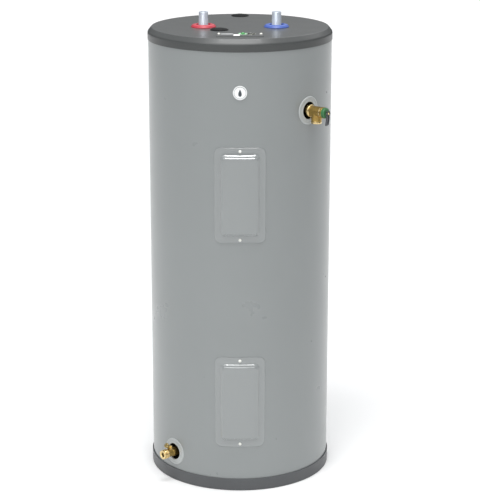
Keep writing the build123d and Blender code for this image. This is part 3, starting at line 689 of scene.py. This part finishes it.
def make_access_plugs():
    profile = rounded([
        (0, TOP - 10, 0), (20.5, TOP - 10, 0.6), (20.5, TOP + 0.05, 0), (25.5, TOP + 0.05, 0.2),
        (25.5, TOP + 1.1, 0.6), (23.6, TOP + 2.0, 0.8), (21.5, TOP + 3.4, 1.5), (13, TOP + 5.0, 8),
        (0, TOP + 5.0, 0),
    ], 6)
    for node, (x, y) in (("anode_access_cap", ANODE_HOLE), ("foam_fill_plug", FOAM_HOLE)):
        plug = lathe(node + "_moulding", profile, at(x, y, 0), 96)
        paint(even_normals(plug), BLACK_PLASTIC)
        place_piece(plug, HEATER, "black_plastic", node)


def drop_outline(size, x=0.0, y=0.0, count=40):
    """A water drop, pointed at the top."""
    points = []
    for k in range(count):
        angle = 2 * math.pi * k / count
        width = size * 0.62 * math.sin(angle) * math.sin(angle / 2) ** 1.2
        points.append((x + width, y + size * math.cos(angle)))
    return points


def make_badge():
    place = around(0, 1147)
    heights = [(19.0, 0.3), (19.0, 1.4), (18.6, 2.0), (17.9, 2.1), (17.5, 1.8), (17.1, 1.7), (12, 1.75),
               (6, 1.8), (0.01, 1.8)]
    plate = paint(wrapped("badge_plate", [disc_ring(r, h) for r, h in heights], place), WHITE_FACE)
    line = [(16.3, 1.6), (16.3, 1.95), (15.5, 1.95), (15.5, 1.6)]
    ring = paint(wrapped("badge_line", [disc_ring(r, h) for r, h in line], place, solid="loop"), BADGE_INK)
    drop = prism("badge_drop", drop_outline(10.0), JACKET + 1.2, JACKET + 2.15, place, 0.12)
    badge = join("badge_disc", [plate, ring, paint(drop, BADGE_INK)])
    place_piece(badge, HEATER, "badge_face", "badge")


def make_port_collars():
    steps = [(23.6, -0.6), (23.6, 1.2), (24.0, 1.7), (24.8, 1.95), (26.0, 1.9), (27.4, 1.5), (30.0, 1.3),
             (32.2, 1.4), (33.4, 1.8), (35.6, 1.95), (37.6, 1.7), (38.6, 1.1), (39.0, 0.3), (25.4, 0.2),
             (25.0, -0.6)]
    for name, (bearing, level) in (("relief_valve", RELIEF), ("drain_valve", DRAIN)):
        rings = [disc_ring(r, h, 128) for r, h in steps]
        place = around(bearing, level)
        ring = paint(wrapped("ring", rings, place, 40, "loop"), GREY_PLASTIC)
        # A black sleeve lining the port hole: painted shade for the dark gap round the valve.
        hole_shade_sleeve = paint(lathe("hole_shade_sleeve", tube_profile(25.0, 23.5, 226, 255.6, 0.3), place, 96), BLACK_PLASTIC)
        collar = join(name + "_trim_ring", [ring, hole_shade_sleeve])
        place_piece(collar, HEATER, "grey_plastic", name + "_collar")


# ---------------------------------------------------------------- junction box cover


def make_junction_cover():
    plate = prism("junction_plate", box_outline(128, 93, 5, *JUNCTION), TOP + 0.05, TOP + 1.25, edge=0.35)
    combine(plate, [prism("hole", circle_outline(11.1, 64, *CONDUIT), TOP - 3, TOP + 4)])
    paint(even_normals(plate), CAP_ENAMEL)
    rim = tube_profile(13.4, 11.15, TOP + 1.1, TOP + 1.9, 0.3)
    knockout = paint(lathe("knockout_rim", rim, at(*CONDUIT, 0), 64), ZINC)
    labels = [("wide", (32, 22, -35, -163), LABEL_GREY), ("small", (17, 23, -9, -183), LABEL_WHITE),
              ("ground", (24, 26, 8, -160), LABEL_GREEN)]
    parts = [plate, knockout]
    for name, (width, tall, x, y), material in labels:
        sheet_top = TOP + 1.45 + 0.03 * len(parts)
        sheet = prism("label_" + name, box_outline(width, tall, 1.5, x, y), TOP + 1.15, sheet_top)
        parts.append(paint(sheet, material))
    cover = join("junction_plate", parts)
    place_piece(cover, "junction_cover", "cap_enamel", "junction_box_cover")
    heads = [(Vector((side * 57, -163, TOP + 1.25)), (0, 0, 1)) for side in (-1, 1)]
    screws = screw_heads("junction_plate_screws", heads, (3.6, 2.2), (4.6, 0.5), 0.9, SCREW_ZINC)
    place_piece(screws, "junction_cover", "zinc_steel", "junction_cover_screws")
    spot = (Vector((8, -162, TOP + 1.25)), (0, 0, 1))
    ground = screw_heads("ground_screw_head", [spot], (5.0, 3.0), (6.4, 0.7), 1.1, GREEN_STEEL)
    place_piece(ground, "junction_cover", "green_steel", "ground_screw")


# ---------------------------------------------------------------- access covers


def cover_rings():
    """The pressing from its hem inwards: flange, stepped shoulder and flat middle."""
    hem = [(0, 0.3), (0, 1.2), (0.35, 1.55), (1.0, 1.7), (2.2, 1.6), (4.0, 1.38), (6.5, 1.3), (9.0, 1.3)]
    rings = [panel_ring(70.5 - inset, 133.5 - inset, 133.5 - inset, 17 - inset, rise) for inset, rise in hem]
    shoulder = [  # half width, top, foot, corner radius, rise
        (54.6, 114.6, 114.2, 12.6, 1.3), (53.8, 113.7, 113.2, 12.2, 1.5), (51.2, 111.0, 111.6, 10.4, 4.5),
        (51.0, 110.2, 110.6, 10.2, 4.75), (50.9, 109.2, 109.8, 10.1, 4.8), (50.8, 108.0, 108.8, 10.0, 4.85),
        (50.6, 107.1, 108.0, 9.8, 5.1), (48.3, 104.8, 106.6, 8.6, 7.6), (47.6, 103.9, 105.6, 8.2, 7.88),
        (46.4, 102.8, 104.4, 7.8, 7.97), (44.5, 100.5, 102.4, 7.0, 7.97),
    ]
    rings += [panel_ring(*step) for step in shoulder]
    half, top, foot, corner, rise = shoulder[-1]
    for k in range(1, 8):
        inset = (half - 0.4) * k / 7
        rings.append(panel_ring(half - inset, top - inset, foot - inset, max(0.3, corner - inset), rise))
    return rings


def make_access_cover(which):
    place = around(0, COVERS[which])
    cover = wrapped(which + "_cover_pressing", cover_rings(), place, 28, "cap")
    wall = cover.modifiers.new("wall", "SOLIDIFY")
    wall.thickness = 0.9 * MM
    wall.offset = -1
    apply_modifiers(cover)
    paint(cover, COVER_ENAMEL)
    place_piece(cover, which + "_cover", "jacket_enamel", which + "_access_cover")
    name = which + "_cover_screw_heads"
    spots = [(place @ Vector((0, up, SEAT + 1.2)), (0, -1, 0)) for up in COVER_SCREWS]
    screws = screw_heads(name, spots, (3.2, 2.3), (4.1, 0.5), 0.9, SCREW_ZINC)
    shanks = [prism("shank", circle_outline(2, 16), 243.5, SEAT + 1.2, place @ at(0, up, 0))
              for up in COVER_SCREWS]
    screws = join(name, [screws] + [paint(shank, SCREW_ZINC) for shank in shanks])
    place_piece(screws, which + "_cover", "zinc_steel", which + "_cover_screws")


# ---------------------------------------------------------------- relief valve


def make_relief_valve():
    place = around(*RELIEF)
    down = place @ at(0, 0, OUTLET) @ turn_about("X", 90)
    side_boss = place @ at(0, 0, 287) @ turn_about("Y", 90)
    casting = lathe("tee", bar_profile(14.9, 268, 303, 1.2), place, 64)
    combine(casting, [lathe("branch", bar_profile(14.5, 0, 28, 1.0), down, 64),
                      lathe("boss", bar_profile(9, 0, 16.5, 1.0), side_boss, 48)], "UNION")
    cast_form(casting, 0.55, 5)
    combine(casting, [prism("bore", circle_outline(12.3, 64), 4, 40, down),
                      prism("chamber", circle_outline(12.6, 64), 266, 306, place)])
    paint(casting, CAST_BRASS)
    flange = rounded([(8, 258, 0.3), (17.4, 258, 1.0), (17.4, 266.5, 1.5), (15, 268.5, 0.6), (8, 268.5, 0.3)])
    turned = [
        lathe("inlet", tube_profile(13.3, 8, 204, 252), place, 64),
        prism("wrench_flats", hex_outline(30), 250, 258.5, place, 0.5),
        lathe("flange", flange, place, 96),
        lathe("mouth", tube_profile(15.0, 12.4, 301, 305, 0.6), place, 96),
        lathe("outlet_lip", tube_profile(14.8, 12.3, 25.5, 32, 0.9), down, 96),
    ]
    for piece in turned:
        paint(piece, TURNED_BRASS)
    turned.append(grow(RIDGES, "outlet_thread", {
        "Radius": 12.2, "Height": 9.0, "Turns": 5.0, "Ridge": 0.5, "Sides": 6, "Material": TURNED_BRASS},
        down @ at(0, 0, 22)))
    body = join("relief_valve_casting", [casting] + turned)
    place_piece(body, HEATER, "brass", "relief_valve_body")

    cap_profile = rounded([
        (12.4, 310.6, 0.2), (14.6, 310.6, 0.3), (14.4, 313, 0.6), (14.0, 318.6, 1.8), (11.6, 320.5, 1.0),
        (4.2, 320.5, 0.5), (4.2, 317.5, 0.3), (12.4, 317.5, 0.6),
    ], 5)
    cap = paint(lathe("cap_shell", cap_profile, place, 96), GREEN_PLASTIC)
    rim = paint(lathe("cap_rim", tube_profile(15.5, 12.4, 305, 311.2, 0.7), place, 96), CAST_BRASS)
    grips = grow(RIBS, "cap_grips", {
        "Count": 24, "Radius": 14.1, "Width": 1.4, "Depth": 1.2, "Rise": 4.6, "Material": GREEN_PLASTIC},
        place @ at(0, 0, 315.6))
    cap = join("relief_valve_green_cap", [cap, grips, rim])
    place_piece(cap, HEATER, "green_plastic", "relief_valve_cap")

    low, pitch, turns = 320.5 - 3.6 - 0.9 - 36.4, 5.2, 7
    spring = grow(RIDGES, "relief_valve_coil", {
        "Radius": 9.5, "Height": pitch * turns, "Turns": float(turns), "Ridge": 0.9, "Sides": 12,
        "Material": ZINC}, place @ at(0, 0, low))
    place_piece(spring, HEATER, "zinc_steel", "relief_valve_spring")

    stem = lathe("stem_rod", rounded([
        (0, 260, 0), (2, 260, 0.2), (2, 265, 0), (11.5, 265, 0.4), (11.5, 269, 0.4), (3.2, 269, 0.2),
        (3.2, LEVER_PIN + 3.4, 1.2), (0, LEVER_PIN + 3.4, 0)], 4), place, 48)
    place_piece(paint(stem, TURNED_BRASS), "relief_stem", "brass", "relief_valve_stem")
    hinge = place @ at(0, 0, LEVER_PIN)
    pin = lathe("lever_pin_rod", bar_profile(1.5, -6.0, 6.0, 0.3), hinge @ turn_about("Y", 90), 32)
    place_piece(paint(pin, ZINC), "relief_stem", "zinc_steel", "relief_lever_pin")
    make_relief_lever(hinge)


def make_relief_lever(hinge):
    """A pressed lever: two cam cheeks on the pin, and a channel that hangs down and leans inwards."""
    hanging, side_on = hinge @ turn_about("X", 9), turn_about("Y", 90)
    angles = [math.radians(15 * k) for k in range(13)]
    cam = [(2.5 * math.cos(angle), 4.5 + 2.5 * math.sin(angle)) for angle in angles]
    cam += [(-2.6, 3.2), (-3.6, 1.6), (-4.0, 0.0), (-3.4, -2.2), (-1.6, -3.7), (1.6, -3.7), (3.4, -2.2),
            (4.0, 0.0), (3.6, 1.6), (2.6, 3.2)]
    parts = [prism("web", box_outline(11, 26, 3, 0, -22), -0.4, 1.2, hanging, 0.3)]
    for side in (-1, 1):
        low = 3.7 if side > 0 else -5.5
        parts += [
            prism("cheek", cam, low, low + 1.8, hinge @ side_on, 0.25),
            prism("arm", box_outline(4.4, 12, 1.0, 0, -6), low, low + 1.8, hanging @ side_on, 0.25),
            prism("edge", box_outline(1.3, 23, 0.5, side * 4.85, -20.5), -0.3, 3.5, hanging, 0.2),
        ]
    lever = paint(join("relief_valve_lever_strap", parts), DARK_STEEL)
    place_piece(lever, "relief_lever", "dark_steel", "relief_valve_lever")


# ---------------------------------------------------------------- drain valve


def make_drain_valve():
    place = around(*DRAIN)
    stem_place = place @ at(0, 0, STEM_ROOT) @ turn_about("X", -40)
    casting = lathe("barrel", bar_profile(12.9, 241, 268, 1.0), place, 64)
    combine(casting, [lathe("neck", bar_profile(12, 262, 286, 0.5), place, 64),
                      lathe("bonnet", bar_profile(8.5, 0, 20, 0.6), stem_place, 48)], "UNION")
    cast_form(casting, 0.55, 5)
    combine(casting, [prism("bore", circle_outline(6.3, 48), 266, 310, place),
                      prism("stem_bore", circle_outline(5.1, 32), 8, 40, stem_place)])
    paint(casting, CAST_BRASS)
    mouth = lathe("hose_end", rounded([
        (6.3, 283.5, 0.2), (12.5, 283.5, 0.6), (12.5, 298.6, 0.3), (12.9, 299.2, 0.3), (12.9, 301, 0.8),
        (7.2, 301, 0.5), (6.3, 299.6, 0.2)], 4), place, 96)
    bridge = prism("bridge", box_outline(13, 1.2, 0.4), 296, 298.4, place @ turn_about("Z", -22), 0.3)
    # A dark rubber disc deep in the bore: painted shade that makes the hose end's hole read dark.
    washer = paint(lathe("bore_shade_disc", bar_profile(6.4, 288, 290, 0.3), place, 48), RUBBER)
    flats = prism("wrench_flats", hex_outline(30), 232, 242, place, 0.6)
    inlet = lathe("inlet", tube_profile(13.3, 7, 204, 234), place, 64)
    nut = prism("packing_nut", hex_outline(15.4), 18, 25, stem_place, 0.5)
    combine(nut, [prism("nut_bore", circle_outline(5.2, 48), 10, 40, stem_place)])
    thread = grow(RIDGES, "hose_thread", {
        "Radius": 12.55, "Height": 13.2, "Turns": 6.0, "Ridge": 0.85, "Sides": 8, "Material": TURNED_BRASS},
        place @ at(0, 0, 284.6))
    paint(bridge, CAST_BRASS)
    for piece in (mouth, flats, inlet, nut):
        paint(piece, TURNED_BRASS)
    body = join("drain_valve_casting", [casting, mouth, bridge, flats, inlet, nut, thread, washer])
    place_piece(body, HEATER, "brass", "drain_valve_body")
    profile = rounded([(0, 10, 0), (5, 10, 0.6), (5, 36, 0.2), (7, 36, 0.5), (7, 42, 0.9), (0, 42, 0)], 4)
    spindle = lathe("spindle", profile, stem_place, 48)
    combine(spindle, [prism("slot", box_outline(16, 1.6, 0.1), 39, 44, stem_place)])
    spindle.name = "drain_valve_spindle"
    place_piece(paint(spindle, SPINDLE_ZINC), "drain_stem", "zinc_steel", "drain_valve_stem")


# ---------------------------------------------------------------- behind the covers


def pad_depth(x, y, share):
    """A foam pad's depth: flat behind, and crowned in front to the jacket's curve."""
    back, edge = 236.7, max(abs(x) / 53, abs(y) / 109)
    return back + share * (on_jacket(x, y, -0.6) - 1.8 * edge ** 8 - back)


def make_cover_pads():
    """Blocks of bead foam that fill the openings behind the covers."""
    section = [(50, 0), (30, 0), (12, 0), (4, 0), (1.4, 0.05), (0.3, 0.2), (1.1, 0.5), (0.3, 0.8),
               (1.2, 0.93), (3.6, 0.985), (8, 1), (16, 1), (28, 1), (40, 1), (51, 1)]
    for which, level in COVERS.items():
        rings = [panel_ring(53 - i, 109 - i, 109 - i, max(0.6, 8 - i), share) for i, share in section]
        pad = wrapped(which + "_foam_pad", rings, around(0, level), 60, "both", pad_depth)
        paint(pad, PAD_FOAM)
        place_piece(pad, which + "_cover", "foam_pad", which + "_cover_insulation")


def make_dials():
    """Thermostat dials with a gripped edge and a pointer slot."""
    face = CONTROL_FACE
    profile = rounded([(0, face - 8, 0), (3, face - 8, 0.3), (3, face - 2.6, 0), (8.7, face - 2.6, 0.4),
                       (8.7, face + 3.1, 0.5), (8.0, face + 3.6, 0.4), (0, face + 3.6, 0)], 4)
    for which, level in COVERS.items():
        place = around(0, level) @ at(0, 8, 0)
        knob = lathe("knob", profile, place, 72)
        combine(knob, [prism("slot", box_outline(2, 15, 0.5), face + 2, face + 6, place)])
        grips = grow(RIBS, "knob_grips", {
            "Count": 30, "Radius": 8.65, "Width": 0.8, "Depth": 0.6, "Rise": 4.6, "Material": DIAL_PLASTIC},
            place @ at(0, 0, face + 0.3))
        dial = join(which + "_dial_knob", [paint(knob, DIAL_PLASTIC), grips])
        place_piece(dial, which + "_dial", "dial_white", which + "_thermostat_dial")


def make_reset_button():
    face = SWITCH_FACE
    profile = rounded([(0, face - 5, 0), (5, face - 5, 0.3), (5, face + 4, 0.9), (2.6, face + 3.5, 1.5),
                       (0, face + 3.4, 0)])
    button = lathe("reset_plunger", profile, around(0, COVERS["upper"]) @ at(0, 60, 0), 64)
    place_piece(paint(button, RESET_RED), "reset", "reset_red", "reset_button")


def make_terminal_screws():
    spots = []
    for which, level in COVERS.items():
        rows = [(10, -17, CONTROL_FACE), (19.5, -17, CONTROL_FACE), (8, -60, TERMINAL_FACE)]
        rows.append((13, 76, SWITCH_FACE) if which == "upper" else (13, 26, CONTROL_FACE))
        spots += [(around(0, level) @ Vector((side * x, up, seat)), (0, -1, 0))
                  for x, up, seat in rows for side in (-1, 1)]
    screws = screw_heads("terminal_screw_heads", spots, (2.8, 2.0), (3.2, 0.4), 0.8, TURNED_BRASS, sides=28)
    place_piece(screws, HEATER, "brass", "terminal_screws")


# ---------------------------------------------------------------- carried-over nodes


def finish_inner_nodes():
    kept = [
        (FOAM, ["foam_insulation"]), (FIBRE, ["foam_dams"]), (RUBBER, ["element_gaskets"]),
        (TANK_STEEL, ["tank_shell", "tank_top_head", "tank_bottom_head", "tank_support_ring", "tank_spuds"]),
        (ZINC, ["anode_plug", "element_heads", "thermostat_brackets"]), (MAGNESIUM, ["anode_rod"]),
        (COPPER, ["element_sheaths", "relief_valve_probe"]), (GREY_PLASTIC, ["wire_conduits"]),
        (BLACK_PLASTIC, ["element_terminal_blocks", "upper_thermostat", "lower_thermostat",
                         "high_limit_switch"]),
        (GUARD, ["upper_terminal_shield", "lower_terminal_shield"]), (BOX_STEEL, ["junction_box"]),
        (WIRE_BLACK, ["supply_wires", "element_leads"]), (WIRE_RED, ["link_wires"]),
    ]
    for material, nodes in kept:
        for node in nodes:
            paint(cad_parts[node], material)


# ---------------------------------------------------------------- studio


def make_backdrop():
    """White to the camera, and to the heater's gloss a room that is dark low down and pale overhead."""
    world = bpy.data.worlds.new("studio")
    bpy.context.scene.world = world
    world.use_nodes = True
    tree = world.node_tree
    seen = tree.nodes["Background"]
    seen.inputs[0].default_value = (1, 1, 1, 1)
    seen.inputs[1].default_value = 1.1
    direction = add_node(tree, "ShaderNodeTexCoord")
    parts = add_node(tree, "ShaderNodeSeparateXYZ", {"Vector": direction.outputs["Generated"]})
    level = add_node(tree, "ShaderNodeMapRange", {
        "Value": parts.outputs["Z"], "From Min": 0.05, "From Max": 0.6, "To Min": 0.1, "To Max": 0.55})
    room = add_node(tree, "ShaderNodeBackground", {"Color": (0.96, 0.98, 1, 1), "Strength": level.outputs[0]})
    ray = add_node(tree, "ShaderNodeLightPath")
    either = add_node(tree, "ShaderNodeMixShader", {0: ray.outputs["Is Camera Ray"]})
    tree.links.new(room.outputs[0], either.inputs[1])
    tree.links.new(seen.outputs[0], either.inputs[2])
    tree.links.new(either.outputs[0], tree.nodes["World Output"].inputs[0])
    bpy.context.scene.view_settings.view_transform = "Standard"


def aim(lamp, target):
    lamp.rotation_euler = (Vector(target) - lamp.location).to_track_quat("-Z", "Y").to_euler()
    bpy.context.scene.collection.objects.link(lamp)
    lamp.visible_camera = False


def softbox(name, place, target, width, tall, radiance):
    light = bpy.data.lights.new(name, "AREA")
    light.shape = "RECTANGLE"
    light.size, light.size_y = width, tall
    light.energy = radiance * math.pi * width * tall
    lamp = bpy.data.objects.new(name, light)
    lamp.location = place
    aim(lamp, target)


def wide_light(name, toward, strength, spread):
    """An even, far-off light whose shadows are soft."""
    light = bpy.data.lights.new(name, "SUN")
    light.energy = strength
    light.angle = math.radians(spread)
    lamp = bpy.data.objects.new(name, light)
    lamp.location = toward
    aim(lamp, (0, 0, 0))


def make_studio():
    make_backdrop()
    reach = 9000
    sheet = [(-reach, -reach, 0), (reach, -reach, 0), (reach, reach, 0), (-reach, reach, 0)]
    floor = mesh_piece("studio_floor", sheet, [[0, 1, 2, 3]])
    paint(floor, finish("floor_paint", (0.88, 0.88, 0.88, 1), 0.9, tone=0.01, tone_scale=1, specular=0.1))
    wide_light("front_light", (-0.5, -1.72, 1.75), 2.0, 70)
    wide_light("back_light", (0.6, 1.6, 2.4), 1.1, 70)
    softbox("overhead_strip", (0, -0.6, 3.3), (0, -0.5, 0.8), 1.4, 0.6, 13)


def make_camera():
    distance, high, pitch, focal_length = 4.826, 1.984, 15.567, 124.5744
    lens = bpy.data.cameras.new("camera")
    lens.sensor_width = 36
    lens.lens = focal_length
    lens.clip_end = 100
    camera = bpy.data.objects.new("camera", lens)
    bpy.context.scene.collection.objects.link(camera)
    camera.location = (0, -distance, high)
    camera.rotation_euler = (math.radians(90 - pitch), 0, 0)
    bpy.context.scene.camera = camera


make_camera()
make_studio()
finish_inner_nodes()
make_base_pan()
make_jacket()
make_seam_rivets()
make_top_cap()
make_marker_rings()
make_pipe_nipples()
make_pipe_liners()
make_access_plugs()
make_badge()
make_port_collars()
make_junction_cover()
for which in COVERS:
    make_access_cover(which)
make_relief_valve()
make_drain_valve()
make_cover_pads()
make_dials()
make_reset_button()
make_terminal_screws()


def corners(bounds):
    return [list(corner) for corner in bounds]
